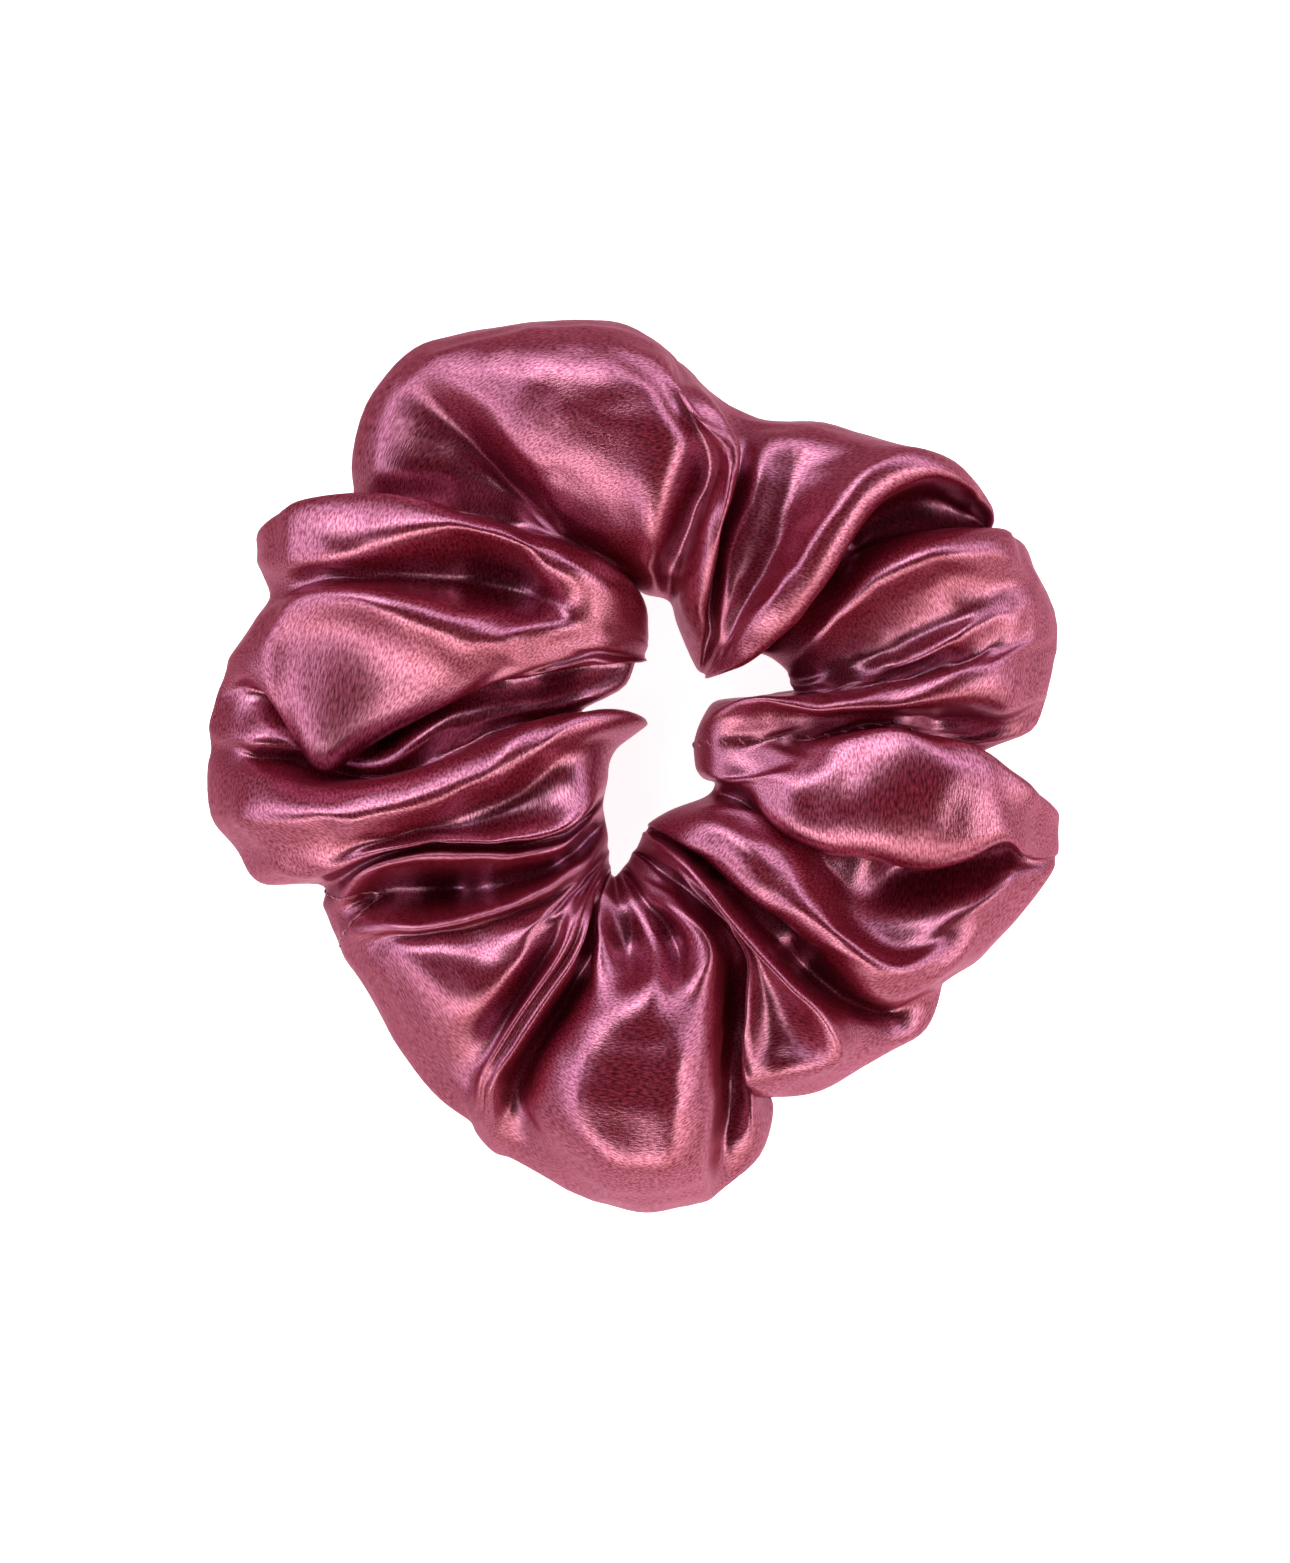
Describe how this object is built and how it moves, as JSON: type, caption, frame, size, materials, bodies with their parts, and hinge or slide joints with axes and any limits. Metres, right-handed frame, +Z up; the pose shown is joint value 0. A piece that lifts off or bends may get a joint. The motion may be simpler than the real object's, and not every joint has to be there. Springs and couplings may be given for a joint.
{
  "type": "hair scrunchie",
  "caption": "Ring of gathered rose satin over a hidden loop of flat elastic, lying flat with a small open hole in the middle; it stretches open and springs back.",
  "frame": {"origin": "centre of the scrunchie's footprint, on the surface it lies on", "axes": "+Z up through the hole; +X towards the closing seam, the way the right half is pulled; +Y across"},
  "size_m": [0.105, 0.1086, 0.032],
  "materials": {
    "rose_satin": "glossy polyester satin, rose wine with lilac highlights",
    "rose_thread": "spun polyester sewing thread, matt",
    "ivory_braid": "flat braided elastic, matt, ribbed along its length"
  },
  "bodies": {
    "left_half": {"sleeve_left": "rose_satin", "seam_thread_left": "rose_thread", "elastic_left": "ivory_braid"},
    "right_half": {"sleeve_upper_right": "rose_satin", "sleeve_lower_right": "rose_satin", "seam_thread_upper_right": "rose_thread", "seam_thread_lower_right": "rose_thread", "closing_stitches": "rose_thread", "elastic_upper_end": "ivory_braid", "elastic_lower_end": "ivory_braid", "elastic_tack": "rose_thread"}
  },
  "joints": [
    {"name": "stretch", "type": "slide", "parent": "left_half", "child": "right_half", "axis": [1, 0, 0], "range_m": [0, 0.06], "stiffness_N_per_m": 120}
  ]
}
